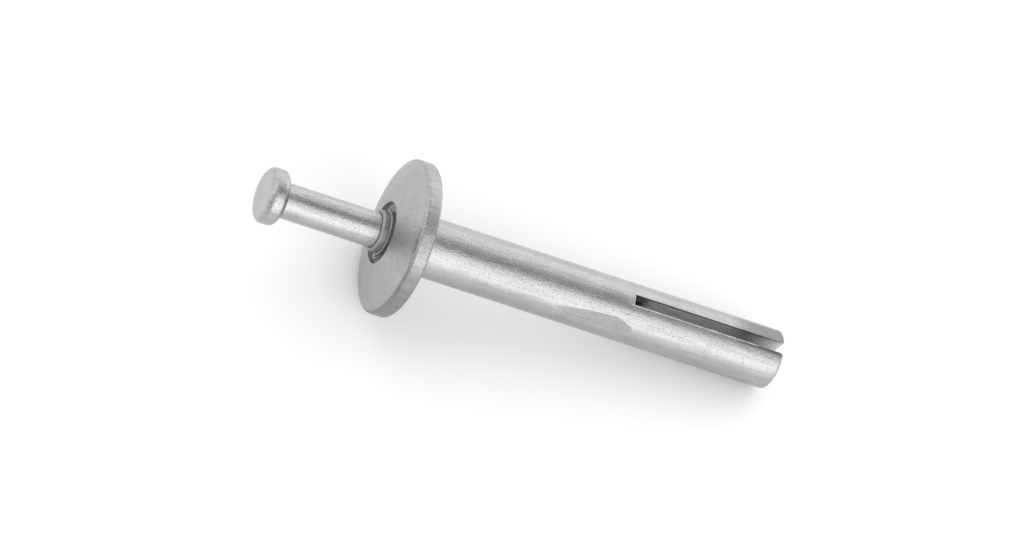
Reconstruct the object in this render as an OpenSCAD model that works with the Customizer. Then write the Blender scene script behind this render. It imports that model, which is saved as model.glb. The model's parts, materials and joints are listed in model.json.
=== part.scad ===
// Hammer drive anchor: a one-piece steel sleeve with a low domed head and a split
// tip, and the drive pin that is hammered home to spread the split tip.
// Both pieces are modelled about their own axis, which is +X and points from the
// head to the tip, with x = 0 on the flat underside of the sleeve's head. The whole
// anchor is then laid down on the floor, on its head rim and on the edges of its slot.

/* [Sleeve body] */
// Diameter of the sleeve body, which is the size of the hole it goes in
body_d = 6; // [5.5:0.1:9]
// Length of the sleeve under its head
body_len = 39.9; // [34:0.1:70]
// Rounding of the outer edge of the tip
tip_r = 0.3; // [0.1:0.05:0.6]

/* [Sleeve head] */
// Diameter of the sleeve's head
flange_d = 15.7; // [12:0.1:24]
// Thickness of the head at its rim
rim_h = 1.6; // [1.2:0.05:3]
// Rounding of both edges of the rim
rim_r = 0.3; // [0.1:0.05:0.55]
// Rise of the domed face from the rim to the axis
dome_h = 1.35; // [0.8:0.05:2]
// Fillet between the head's underside and the body
neck_r = 0.3; // [0.1:0.05:0.8]

/* [Staked ring round the pin] */
// Outer diameter of the groove that the staking tool leaves
stake_d = 6.3; // [6:0.1:8]
// Depth of the groove at its outer wall
stake_depth = 0.7; // [0.4:0.05:0.9]
// Fillet along both sides of the groove's floor
stake_fillet = 0.25; // [0.1:0.05:0.3]
// Height of the raised collar over the plane of the rim's front edge
collar_h = 1.98; // [1.9:0.02:2.5]
// Wall of the collar
collar_wall = 0.3; // [0.25:0.05:0.4]
// Rounding of the collar's top edge
collar_edge = 0.24; // [0.1:0.02:0.24]
// Height of the collar's step over the plane of the rim's front edge
step_h = 1.2; // [1:0.05:1.4]
// Width of the collar's step, and the rounding of its edge
step_w = 0.12; // [0.06:0.02:0.16]

/* [Grip flat] */
// Greatest depth of the flat pressed into the side of the body
grip_depth = 0.18; // [0.05:0.01:0.25]
// How far the flat is turned round the body from the slot
grip_turn = 61; // [50:1:90]
// Distance from the slot's root back to the start of the flat
grip_start = 8; // [8:0.5:14]
// Distance from the slot's root back to the deepest place of the flat
grip_middle = 1.5; // [1:0.5:5]
// Distance from the slot's root on to the end of the flat
grip_run_out = 0.8; // [0.2:0.1:1.5]

/* [Expansion slot] */
// Width of the slot across the tip
slot_w = 1.15; // [0.8:0.05:1.4]
// Length of the slot from the tip
slot_len = 16.5; // [10:0.5:20]
// Width that the flare adds to each side of the slot's mouth
flare_w = 0.15; // [0.05:0.05:0.3]
// Length of the flare at the slot's mouth
flare_len = 0.5; // [0.2:0.1:1.5]

/* [Bore] */
// Depth of the full bore past the root of the slot
bore_past_root = 1.3; // [0.5:0.1:3]
// Angle of the cone at the end of the full bore
drill_angle = 118; // [90:2:140]

/* [Drive pin] */
// Diameter of the pin's shank
pin_d = 3.55; // [3:0.05:3.9]
// Distance that the pin is driven, from where it is supplied to its seat
pin_stroke = 10.05; // [6:0.1:14]
// Diameter of the pin's head
head_d = 5.65; // [4.8:0.05:8]
// Thickness of the pin's head
head_h = 1.9; // [1.5:0.05:3]
// Rounding of both edges of the pin's head
head_r = 0.65; // [0.2:0.05:0.7]
// Diameter of the pin's nose, which goes between the legs of the split tip
nose_d = 2.1; // [1.6:0.1:2.4]
// Length of the nose
nose_len = 8.1; // [5:0.1:9]
// Bevel at the end of the nose
nose_bevel = 0.4; // [0.1:0.1:0.7]

/* [Clearances] */
// Clearance all round between the pin's shank and the bore
pin_gap = 0.04; // [0.02:0.01:0.08]
// Clearance all round between the pin's nose and the pilot bore
nose_gap = 0.05; // [0.03:0.01:0.1]
// Space left past the shank's shoulder, and past the nose, when the pin is driven
end_gap = 0.4; // [0.2:0.05:0.8]

/* [Hidden] */
$fn = 96;
eps = 0.01;

body_r = body_d / 2;
flange_r = flange_d / 2;
face_x = -rim_h;

// The dome is part of a sphere that runs smoothly into the rounding of the rim
rim_cr = flange_r - rim_r;
dome_r = rim_r + (rim_cr * rim_cr + dome_h * dome_h) / (2 * dome_h);
dome_x = face_x - dome_h + dome_r;
dome_end = dome_r / (dome_r - rim_r);
dome_end_r = rim_cr * dome_end;
dome_end_x = dome_x + (face_x + rim_r - dome_x) * dome_end;
function dome_face_x(r) = dome_x - sqrt(dome_r * dome_r - r * r);

// The groove and the collar round the pin
stake_r = stake_d / 2;
groove_x = dome_face_x(stake_r) + stake_depth;
bore_r = pin_d / 2 + pin_gap;
collar_r = bore_r + collar_wall;
collar_x = face_x - collar_h;
step_r = collar_r + step_w;
step_x = face_x - step_h;

// The bore: full size as far as the root of the slot, then a pilot for the nose
root_x = body_len - slot_len;
bore_x = root_x + bore_past_root;
pilot_r = nose_d / 2 + nose_gap;
drill_x = bore_x + (bore_r - pilot_r) / tan(drill_angle / 2);

// The pin is as long as its driven place needs: head on the collar, shoulder clear
shoulder_cone = (pin_d - nose_d) / 2 / tan(drill_angle / 2);
shank_len = bore_x - end_gap - collar_x;
pin_len = shank_len + nose_len;
pin_x = collar_x - pin_stroke;
pilot_x = collar_x + pin_len + end_gap;

// How the anchor lies: the tip rests on the two edges of its slot
foot_r = sqrt(body_r * body_r - slot_w * slot_w / 4);
rest_run = (body_len - tip_r) + rim_r;
rest_rise = rim_cr - (foot_r - tip_r);
lay_angle = atan2(rest_rise, rest_run)
    + asin((rim_r - tip_r) / norm([rest_run, rest_rise]));
lay_lift = rim_cr * cos(lay_angle) + rim_r - rim_r * sin(lay_angle);
right_x = (body_len - tip_r) * cos(lay_angle) + (foot_r - tip_r) * sin(lay_angle) + tip_r;
left_x = (pin_x - head_h + head_r) * cos(lay_angle)
    - (head_d / 2 - head_r) * sin(lay_angle) - head_r;

// Lays a piece that is modelled about +X on the floor, with the origin under its middle
module laid() {
    translate([-(left_x + right_x) / 2, 0, lay_lift])
        rotate([0, lay_angle, 0])
            children();
}

// Turns an outline of radius and x about the anchor's axis
module turned() {
    rotate([0, 90, 0])
        rotate_extrude()
            children();
}

// Half outline of a disc with both outer edges rounded, from x to x + h
module disc_outline(r, x, h, edge) {
    translate([0, x]) square([r - edge, h]);
    translate([0, x + edge]) square([r, h - 2 * edge]);
    for (side = [edge, h - edge])
        translate([r - edge, x + side]) circle(edge);
}

module dome_outline() {
    intersection() {
        translate([0, dome_x]) circle(dome_r);
        polygon([
            [0, face_x - dome_h], [dome_end_r, face_x - dome_h],
            [dome_end_r, dome_end_x], [rim_cr, face_x + rim_r], [0, face_x + rim_r]
        ]);
    }
}

module body_outline() {
    translate([0, -eps]) square([body_r, body_len - tip_r + eps]);
    square([body_r - tip_r, body_len]);
    translate([body_r - tip_r, body_len - tip_r]) circle(tip_r);
}

// Fillet in the inner corner at radius r and x, turned to lie in the corner's open side
module fillet_outline(r, x, size, turn) {
    translate([r, x])
        rotate(turn)
            difference() {
                translate([-eps, -eps]) square(size + eps);
                translate([size, size]) circle(size);
            }
}

// Half outline of a post on the groove's floor, with its top edge rounded
module post_outline(r, x, edge) {
    translate([0, x]) square([r - edge, groove_x + eps - x]);
    translate([0, x + edge]) square([r, groove_x + eps - x - edge]);
    translate([r - edge, x + edge]) circle(edge);
}

// The stepped collar of pushed-up metal, which stands in the groove round the pin
module collar_outline() {
    post_outline(collar_r, collar_x, collar_edge);
    post_outline(step_r, step_x, step_w);
    fillet_outline(step_r, groove_x, stake_fillet, 270);
    fillet_outline(stake_r, groove_x, stake_fillet, 180);
}

module bore_outline() {
    polygon([
        [0, collar_x - 1], [bore_r, collar_x - 1], [bore_r, bore_x],
        [pilot_r, drill_x], [pilot_r, pilot_x], [0, pilot_x]
    ]);
}

// The slot stands upright across the tip, with a square root and a flared mouth
module slot() {
    mouth_w = slot_w + 2 * flare_w;
    translate([0, 0, -body_d])
        linear_extrude(2 * body_d)
            polygon([
                [root_x, -slot_w / 2], [body_len - flare_len, -slot_w / 2],
                [body_len, -mouth_w / 2], [body_len + 1, -mouth_w / 2],
                [body_len + 1, mouth_w / 2], [body_len, mouth_w / 2],
                [body_len - flare_len, slot_w / 2], [root_x, slot_w / 2]
            ]);
}

// What the flat takes off the side of the body: a wedge that runs out towards the head
module grip_flat() {
    rotate([grip_turn, 0, 0])
        rotate([90, 0, 0])
            linear_extrude(body_d, center = true)
                polygon([
                    [root_x - grip_start, body_r], [root_x - grip_middle, body_r - grip_depth],
                    [root_x + grip_run_out, body_r], [root_x + grip_run_out, body_r + 1],
                    [root_x - grip_start, body_r + 1]
                ]);
}

module sleeve() {
    color([0.78, 0.79, 0.8])
        laid()
            difference() {
                turned()
                    difference() {
                        union() {
                            difference() {
                                union() {
                                    disc_outline(flange_r, face_x, rim_h, rim_r);
                                    dome_outline();
                                }
                                translate([0, face_x - 2 * dome_h])
                                    square([stake_r, groove_x - face_x + 2 * dome_h]);
                            }
                            collar_outline();
                            body_outline();
                            fillet_outline(body_r, 0, neck_r, 0);
                        }
                        bore_outline();
                    }
                slot();
                grip_flat();
            }
}

module drive_pin() {
    color([0.72, 0.73, 0.75])
        laid()
            turned() {
                disc_outline(head_d / 2, pin_x - head_h, head_h, head_r);
                polygon([
                    [0, pin_x - eps], [pin_d / 2, pin_x - eps],
                    [pin_d / 2, pin_x + shank_len - shoulder_cone],
                    [nose_d / 2, pin_x + shank_len],
                    [nose_d / 2, pin_x + pin_len - nose_bevel],
                    [nose_d / 2 - nose_bevel, pin_x + pin_len], [0, pin_x + pin_len]
                ]);
            }
}

sleeve();
drive_pin();
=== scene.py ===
"""A hammer drive anchor lying on a pale floor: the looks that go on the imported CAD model.

The sleeve and its drive pin are both bright zinc-plated steel. The anchor's own frame is its
axis A, which points from the head to the split tip, S, which stands up through the slot, and Y.
Its origin is the middle of the flat underside of the head. Lengths are in metres, and in
millimetres for the burrs and the lumps. The near side of the anchor is where y is negative.
"""
import json
import math
from collections import namedtuple

import bmesh
import bpy
from mathutils import Matrix, Vector, noise


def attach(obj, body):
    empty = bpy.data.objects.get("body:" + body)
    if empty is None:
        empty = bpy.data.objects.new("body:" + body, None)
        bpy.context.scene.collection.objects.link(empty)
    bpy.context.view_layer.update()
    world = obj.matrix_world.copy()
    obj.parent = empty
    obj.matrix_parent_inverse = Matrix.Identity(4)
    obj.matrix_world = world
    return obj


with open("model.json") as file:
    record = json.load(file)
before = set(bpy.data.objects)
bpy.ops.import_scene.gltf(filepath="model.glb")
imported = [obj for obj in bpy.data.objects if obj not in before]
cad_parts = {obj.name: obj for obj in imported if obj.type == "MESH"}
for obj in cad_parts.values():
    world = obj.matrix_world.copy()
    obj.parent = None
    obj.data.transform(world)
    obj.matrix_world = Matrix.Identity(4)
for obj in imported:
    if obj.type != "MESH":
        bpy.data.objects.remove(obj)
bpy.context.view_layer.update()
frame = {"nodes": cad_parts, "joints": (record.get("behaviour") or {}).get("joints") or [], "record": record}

# ---------------------------------------------------------------- the anchor's own frame
A = Vector(frame["joints"][0]["axis"]).normalized()
Y = Vector((0, 1, 0))
S = A.cross(Y).normalized()
LAY_ANGLE = math.atan2(-A.z, A.x)
SEAT = Vector(next(m["pos_m"] for m in frame["record"]["mounts"] if m["name"] == "head_seat"))
SEAT.y = 0
# A Mapping node turns first and shifts after, so this is minus the seat in the anchor's frame
OWN_SHIFT = (-SEAT.dot(A), 0, -SEAT.dot(S))

# Sizes of the CAD model that the looks line up with
RIM_H = 0.0016        # thickness of the head at its rim
BODY_R = 0.003        # radius of the sleeve's body
SLOT_HALF = 0.000575  # half the width of the slot
ROOT_X = 0.0234       # root of the slot
FACE_X = -0.0155      # just behind the flat face of the pin's head
GRIP_TURN = math.radians(61)  # how far the grip flat is turned round the body from the slot
# Which way the grip flat faces, across the axis
GRIP_FACES = (0, -math.sin(GRIP_TURN), math.cos(GRIP_TURN))

# ---------------------------------------------------------------- camera
DIP = math.radians(20.2)      # the axis leans this far out of the picture, head away
ROLL = math.radians(18.15)    # and slopes down to the right by this much in it
TURN = math.radians(29.4)     # the slot faces this far above the camera
DISTANCE = 0.833
PIXELS_PER_M = 10340
IMAGE = (1024, 538)
HEAD_PIXEL = (392.6, 235.85)  # where the middle of the rim's front edge lies in the picture
SENSOR_MM = 36
NEAR_CLIP = 0.01

# ---------------------------------------------------------------- light and floor
# The soft lights of the studio: direction from above in degrees (0 towards the tip, 90 behind,
# 270 on the camera's side), height over the floor in degrees, tightness and brightness. All but
# the last, and the ambient light, are rounded results of a fit to the light and dark of the
# body, the rim and the pin in the photograph.
LIGHTS = (
    (292, 15, 6.5, 2.17), (76, -4, 2.4, 1.52), (172, 34, 2.0, 1.35),
    (301, 56, 12, 1.38), (337, -4, 20, 1.17), (26, 22, 10.4, 1.69),
    (208, 12, 5, 0.35),
)
AMBIENT = 0.05
# The dark gap between the lights is a great circle: which way its plane faces, and the sines
# of the angles off it where it starts and stops fading out, from the same fit
GAP_FACES = (112.2, 11.3)
GAP_FADE = (0.10, 0.38)
GAP_LEVEL = 0.62
FLOOR_SIZE = 6
FLOOR_COLOUR = 0.96
FLOOR_ROUGHNESS = 0.4
FLOOR_SHINE = 1

# ---------------------------------------------------------------- plating, with painted shade and light
# Each noise of the plating: its stretch along the axis, its cells per metre, detail, roughness
CLOUD = (1, 450, 3, 0.5)
PEBBLES = (1, 6500, 2, 0.6)
WAVES = (0.35, 700, 2, 0.5)
LINES = (0.08, 2600, 3, 0.5)
SPECKS = (0.7, 6000, 3, 0.7)
# Where each noise starts to show and is whole, and what it does to the roughness or the tone
CLOUD_SPAN = (0.3, 0.7)
CLOUD_ROUGHNESS = (0.85, 1.2)
CLOUD_TONE = (0.965, 1.035)
LINE_SPAN, LINE_TONE = (0.35, 0.55), (0.91, 1)
SPECK_SPAN, SPECK_TONE = (0.54, 0.72), (1, 0.6)
# Heights in the bump
PEBBLE_HEIGHT = 36e-6
WAVE_HEIGHT = 30e-6
LINE_HEIGHT = 8e-6

# A zone is a part of the surface with a finish of its own, some with painted shade or painted light in their
# tone: tests on a place in the anchor's frame (x, y and s, r off the axis, and flat, towards the grip flat),
# each with where it starts and where it is whole, then the roughness, and what multiplies the tone and the
# grain's depth
Zone = namedtuple("Zone", "tests roughness tint grain")

# The cut metal of the bore and the slot, past the head, and of the tip's end face: a rougher finish, with a
# much lighter tone that is painted light, standing in for the light that reaches in through the slot
CUT_INSIDE_PAINTED_LIGHT = Zone((("x", 0.0008, 0.0012), ("r", 0.0028, 0.0027)), 0.5, 2.1, 1)
# Painted shade: the inside of the body next to the slot's root is darker, standing in for the shade deep in
# the slot
ROOT_PAINTED_SHADE = Zone(
    (("x", 0.0258, 0.0245), ("x", 0.0228, 0.0232), ("r", 0.0029, 0.0027)), 0.5, 0.3, 1)
# A dark stroke of painted shade along the near leg's upper edge at the tip, standing in for the shade
# along that edge. It has no far bound, so it takes in the upper half of the far leg as well.
TIP_EDGE_PAINTED_SHADE = Zone(
    (("x", 0.0335, 0.0365), ("s", 0, 0.001), ("y", -0.00092, -0.00078)), 0.2, 0.55, 1)
# The face of the sleeve's head, the groove in it and the collar
DOMED_FACE = Zone((("x", -0.0016, -0.0018),), 0.4, 1.1, 0.4)
STAKED = Zone((("x", -0.0012, -0.0016), ("r", 0.0033, 0.0031)), 0.42, 1.05, 1.3)
# Painted shade: the collar is darkened, standing in for the dark ring of shade round the pin
COLLAR_PAINTED_SHADE = Zone((("x", -0.0021, -0.0023), ("r", 0.0025, 0.0023)), 0.45, 0.7, 1.3)
# The rim of the head, and a stretch of painted shade on its near side, standing in for the shadowed floor
# that this side of the rim reflects
RIM = Zone((("x", 0.0001, -0.0001), ("r", 0.0075, 0.0077)), 0.2, 0.93, 1.5)
NEAR_RIM_PAINTED_SHADE = Zone(
    (("x", 0.0001, -0.0001), ("r", 0.0073, 0.0077), ("y", -0.0050, -0.0066)), 0.3, 0.7, 1.6)
# The grip flat
GRIP = Zone(
    (("x", 0.014, 0.0165), ("x", 0.0245, 0.0240), ("r", 0.0030, 0.00297),
     ("flat", 0.00272, 0.00278)), 0.2, 0.8, 1.5)
SLEEVE_ZONES = (CUT_INSIDE_PAINTED_LIGHT, ROOT_PAINTED_SHADE, TIP_EDGE_PAINTED_SHADE, DOMED_FACE, STAKED, COLLAR_PAINTED_SHADE,
                RIM, NEAR_RIM_PAINTED_SHADE, GRIP)
# The flat face of the pin's head
PIN_FACE = Zone((("x", FACE_X + 0.0001, FACE_X),), 0.25, 1.12, 0.5)

# ---------------------------------------------------------------- burrs and lumps, in millimetres
# Each burr that the saw left: where it starts, from the slot's root and from its near edge, its
# step along the axis and across it, its number of points, and its radius
BURRS = {
    "slot_edge_burr": ((-0.5, -0.03), (0.75, 0), 20, 0.052),
    "slot_root_burr": ((-0.07, 0), (0, 0.16), 8, 0.065),
    "slot_root_lip": ((-0.55, 0), (0, 0.14), 6, 0.045),
}
RIDGE_SIDES = 10
RIDGE_STEPS = 14
RIDGE_TAPER = 0.25  # share of its radius that a burr gains with each ring from its end
# Unevenness of a burr: its depth as a share of the radius, and how fast it changes
RIDGE_BULGE, RIDGE_RIPPLE, RIDGE_WANDER = (0.45, 2.2), (0.25, 7), (0.4, 3)
WANDER_START = Vector((5, 0, 0))  # keeps the wander's noise apart from the bulge's

# Floor of the groove round the collar, and for each lump on it its turn from the slot in
# degrees, its distance off the axis and its size
GROOVE_X = -2.02
LUMPS = (
    (-118, 2.75, (0.30, 0.30, 0.22)), (-136, 2.72, (0.42, 0.22, 0.24)),
    (-100, 2.78, (0.26, 0.20, 0.26)), (-152, 2.80, (0.30, 0.22, 0.20)),
    (40, 2.78, (0.24, 0.22, 0.22)),
)
# Unevenness of a lump: its depth as a share of its size, and how fast it changes
LUMP_BULGE, LUMP_RIPPLE = (0.35, 1.6), (0.15, 4)


def direction(azimuth, height):
    """The unit vector towards a place in the studio."""
    a, h = math.radians(azimuth), math.radians(height)
    return Vector((math.cos(a) * math.cos(h), math.sin(a) * math.cos(h), math.sin(h)))


class Nodes:
    """Adds nodes to a node tree and links them, with fixed values for the other sockets."""

    def __init__(self, tree):
        self.tree = tree

    def put(self, socket, value):
        """Links a socket to another, or gives it a value."""
        if isinstance(value, bpy.types.NodeSocket):
            self.tree.links.new(value, socket)
        else:
            socket.default_value = value

    def math(self, operation, *values):
        node = self.tree.nodes.new("ShaderNodeMath")
        node.operation = operation
        for socket, value in zip(node.inputs, values):
            self.put(socket, value)
        return node.outputs[0]

    def vector(self, operation, *values):
        node = self.tree.nodes.new("ShaderNodeVectorMath")
        node.operation = operation
        for socket, value in zip(node.inputs, values):
            self.put(socket, value)
        return node.outputs["Value" if operation in ("DOT_PRODUCT", "LENGTH") else "Vector"]

    def span(self, value, start, end, low=0.0, high=1.0, smooth=True):
        """Goes from low to high as the value goes from start to end, and stays there."""
        node = self.tree.nodes.new("ShaderNodeMapRange")
        node.interpolation_type = "SMOOTHSTEP" if smooth else "LINEAR"
        for name, given in (("Value", value), ("From Min", start), ("From Max", end),
                            ("To Min", low), ("To Max", high)):
            self.put(node.inputs[name], given)
        return node.outputs[0]

    def mapping(self, vector, scale=(1, 1, 1), turn=(0, 0, 0), shift=(0, 0, 0)):
        node = self.tree.nodes.new("ShaderNodeMapping")
        for name, given in (("Vector", vector), ("Scale", scale), ("Rotation", turn),
                            ("Location", shift)):
            self.put(node.inputs[name], given)
        return node.outputs[0]

    def noise(self, vector, stretch, per_metre, detail, rough):
        """Noise that is drawn out along the vector's x where its stretch is under 1."""
        node = self.tree.nodes.new("ShaderNodeTexNoise")
        vector = self.mapping(vector, scale=(stretch, 1, 1))
        for name, given in (("Vector", vector), ("Scale", per_metre), ("Detail", detail),
                            ("Roughness", rough)):
            self.put(node.inputs[name], given)
        return node.outputs["Fac"]


def camera():
    """The camera at the picture's viewing angle."""
    facing = math.cos(TURN) * S - math.sin(TURN) * Y
    side = math.sin(TURN) * S + math.cos(TURN) * Y
    along = math.cos(DIP) * A + math.sin(DIP) * facing
    back = math.cos(DIP) * facing - math.sin(DIP) * A
    right = math.cos(ROLL) * along + math.sin(ROLL) * side
    up = math.cos(ROLL) * side - math.sin(ROLL) * along
    data = bpy.data.cameras.new("camera")
    data.sensor_width = SENSOR_MM
    data.lens = PIXELS_PER_M * DISTANCE * data.sensor_width / IMAGE[0]
    data.clip_start = NEAR_CLIP
    cam = bpy.data.objects.new("camera", data)
    bpy.context.scene.collection.objects.link(cam)
    shift_right = (HEAD_PIXEL[0] - IMAGE[0] / 2) / PIXELS_PER_M
    shift_down = (HEAD_PIXEL[1] - IMAGE[1] / 2) / PIXELS_PER_M
    spot = SEAT - RIM_H * A - shift_right * right + shift_down * up + DISTANCE * back
    cam.matrix_world = Matrix.Translation(spot) @ Matrix((right, up, back)).transposed().to_4x4()
    bpy.context.scene.camera = cam


def studio():
    """A plain studio of broad soft lights with a dark gap between the front and the back ones."""
    world = bpy.data.worlds.new("studio")
    bpy.context.scene.world = world
    world.use_nodes = True
    n = Nodes(world.node_tree)
    where = world.node_tree.nodes.new("ShaderNodeTexCoord").outputs["Generated"]
    total = AMBIENT
    for azimuth, height, tightness, brightness in LIGHTS:
        facing = n.vector("DOT_PRODUCT", where, direction(azimuth, height))
        falloff = n.math("EXPONENT", n.math("MULTIPLY_ADD", facing, tightness, -tightness))
        total = n.math("MULTIPLY_ADD", falloff, brightness, total)
    off_gap = n.math("ABSOLUTE", n.vector("DOT_PRODUCT", where, direction(*GAP_FACES)))
    total = n.math("MULTIPLY", total, n.span(off_gap, *GAP_FADE, GAP_LEVEL, 1))
    background = world.node_tree.nodes["Background"]
    n.put(background.inputs["Strength"], total)
    n.put(background.inputs["Color"], (1, 1, 1, 1))


def floor():
    """A plain pale floor."""
    bpy.ops.mesh.primitive_plane_add(size=FLOOR_SIZE)
    plane = bpy.context.object
    plane.name = "floor"
    material = bpy.data.materials.new("floor")
    material.use_nodes = True
    shader = material.node_tree.nodes["Principled BSDF"]
    shader.inputs["Base Color"].default_value = (FLOOR_COLOUR, FLOOR_COLOUR, FLOOR_COLOUR, 1)
    shader.inputs["Roughness"].default_value = FLOOR_ROUGHNESS
    shader.inputs["Specular IOR Level"].default_value = FLOOR_SHINE
    plane.data.materials.append(material)


def plated_steel(name, tone, polish, zones):
    """Bright zinc plating: a fine pebbled grain, drawn lines along the axis and dull specks."""
    material = bpy.data.materials.new(name)
    material.use_nodes = True
    n = Nodes(material.node_tree)
    shader = material.node_tree.nodes["Principled BSDF"]
    shader.inputs["Metallic"].default_value = 1
    where = material.node_tree.nodes.new("ShaderNodeTexCoord").outputs["Object"]
    own = n.mapping(where, turn=(0, -LAY_ANGLE, 0), shift=OWN_SHIFT)
    split = material.node_tree.nodes.new("ShaderNodeSeparateXYZ")
    n.put(split.inputs[0], own)
    radius = n.vector("LENGTH", n.vector("MULTIPLY", own, (0, 1, 1)))
    flat = n.vector("DOT_PRODUCT", own, GRIP_FACES)
    places = {"x": split.outputs["X"], "y": split.outputs["Y"], "s": split.outputs["Z"],
              "r": radius, "flat": flat}

    cloud, lines = n.noise(own, *CLOUD), n.noise(own, *LINES)
    rough = n.span(cloud, *CLOUD_SPAN, *(polish * change for change in CLOUD_ROUGHNESS))
    shade = n.span(cloud, *CLOUD_SPAN, *(tone * change for change in CLOUD_TONE))
    shade = n.math("MULTIPLY", shade, n.span(lines, *LINE_SPAN, *LINE_TONE))
    specks = n.noise(own, *SPECKS)
    shade = n.math("MULTIPLY", shade, n.span(specks, *SPECK_SPAN, *SPECK_TONE))
    depth = 1.0
    for zone in zones:
        mask = 1.0
        for key, outside, inside in zone.tests:
            mask = n.math("MULTIPLY", mask, n.span(places[key], outside, inside))
        rough = n.span(mask, 0, 1, rough, zone.roughness, smooth=False)
        shade = n.math("MULTIPLY", shade, n.span(mask, 0, 1, 1, zone.tint, smooth=False))
        depth = n.math("MULTIPLY", depth, n.span(mask, 0, 1, 1, zone.grain, smooth=False))

    height = n.math("MULTIPLY", n.noise(own, *PEBBLES), PEBBLE_HEIGHT)
    height = n.math("MULTIPLY_ADD", n.noise(own, *WAVES), WAVE_HEIGHT, height)
    height = n.math("MULTIPLY_ADD", lines, LINE_HEIGHT, height)
    bump = material.node_tree.nodes.new("ShaderNodeBump")
    bump.inputs["Distance"].default_value = 1
    n.put(bump.inputs["Height"], n.math("MULTIPLY", height, depth))
    n.put(shader.inputs["Normal"], bump.outputs[0])
    grey = material.node_tree.nodes.new("ShaderNodeCombineXYZ")
    for socket in grey.inputs:
        n.put(socket, shade)
    n.put(shader.inputs["Base Color"], grey.outputs[0])
    n.put(shader.inputs["Roughness"], rough)
    return material


def place(x, y, s):
    """A point of the anchor's frame, given in millimetres, in the shared frame."""
    return SEAT + (x * A + y * Y + s * S) / 1000


def skin(x, y):
    """A point on the side of the sleeve's body that the slot opens in, in millimetres."""
    return x, y, math.sqrt((BODY_R * 1000) ** 2 - y * y)


def uneven(point, bulge, ripple, start=Vector((0, 0, 0))):
    """Two sizes of unevenness at a point, each with its depth and how fast it changes."""
    return (bulge[0] * noise.noise(point * bulge[1] + start)
            + ripple[0] * noise.noise(point * ripple[1] + start))


def ridge(name, path, radius, material):
    """A fine raised line of metal along a path of points in millimetres, with tapered ends."""
    points = []
    for a, b in zip(path, path[1:]):
        points += [Vector(a).lerp(Vector(b), i / RIDGE_STEPS) for i in range(RIDGE_STEPS)]
    points.append(Vector(path[-1]))
    mesh = bmesh.new()
    rings = []
    for i, point in enumerate(points):
        ahead = (points[min(i + 1, len(points) - 1)] - points[max(i - 1, 0)]).normalized()
        out = Vector((0, point.y, point.z)).normalized()
        across = ahead.cross(out).normalized()
        near_end = min(i, len(points) - 1 - i)
        size = radius * min(1, RIDGE_TAPER * (1 + near_end))
        size *= 1 + uneven(point, RIDGE_BULGE, RIDGE_RIPPLE)
        wander = RIDGE_WANDER[0] * radius * noise.noise(point * RIDGE_WANDER[1] + WANDER_START)
        ring = []
        for k in range(RIDGE_SIDES):
            turn = 2 * math.pi * k / RIDGE_SIDES
            off = size * (math.cos(turn) * across + math.sin(turn) * out)
            ring.append(mesh.verts.new(place(*(point + wander * across + off))))
        rings.append(ring)
    for one, two in zip(rings, rings[1:]):
        for k in range(RIDGE_SIDES):
            after = (k + 1) % RIDGE_SIDES
            mesh.faces.new((one[k], one[after], two[after], two[k]))
    mesh.faces.new(rings[0][::-1])
    mesh.faces.new(rings[-1])
    finish_piece(name, mesh, material)


def lump(name, centre, size, material):
    """A crushed lump of metal, with its place and its size along each direction in millimetres."""
    mesh = bmesh.new()
    bmesh.ops.create_icosphere(mesh, subdivisions=4, radius=1)
    for vertex in mesh.verts:
        point = vertex.co.copy()
        bulge = 1 + uneven(point, LUMP_BULGE, LUMP_RIPPLE, Vector(centre))
        vertex.co = place(*(c + bulge * d * v for c, d, v in zip(centre, size, point)))
    finish_piece(name, mesh, material)


def finish_piece(name, mesh, material):
    """Makes an object of a mesh and fixes it to the sleeve."""
    bmesh.ops.recalc_face_normals(mesh, faces=mesh.faces)
    data = bpy.data.meshes.new(name)
    mesh.to_mesh(data)
    mesh.free()
    for face in data.polygons:
        face.use_smooth = True
    piece = bpy.data.objects.new(name, data)
    bpy.context.scene.collection.objects.link(piece)
    data.materials.append(material)
    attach(piece, "sleeve_body")


def burrs(material):
    """The burrs that the saw left round the slot, and the metal crushed in beside the collar."""
    root, edge = ROOT_X * 1000, -SLOT_HALF * 1000
    for name, (start, step, count, radius) in BURRS.items():
        path = [skin(root + start[0] + i * step[0], edge + start[1] + i * step[1])
                for i in range(count)]
        ridge(name, path, radius, material)
    for index, (turn, radius, size) in enumerate(LUMPS):
        turn = math.radians(turn)
        centre = (GROOVE_X, radius * math.sin(turn), radius * math.cos(turn))
        lump(f"stake_lump_{index + 1}", centre, size, material)


def dress():
    """Gives both CAD nodes their plating and adds what is too fine for the CAD model."""
    looks = {
        "sleeve": plated_steel("sleeve_plating", tone=0.4, polish=0.14, zones=SLEEVE_ZONES),
        "drive_pin": plated_steel("pin_plating", tone=0.4, polish=0.11, zones=(PIN_FACE,)),
    }
    for name, material in looks.items():
        for slot in frame["nodes"][name].material_slots:
            slot.material = material
    burrs(plated_steel("burr_plating", tone=0.5, polish=0.25, zones=()))


camera()
studio()
floor()
dress()
bpy.context.scene.view_settings.view_transform = "Standard"
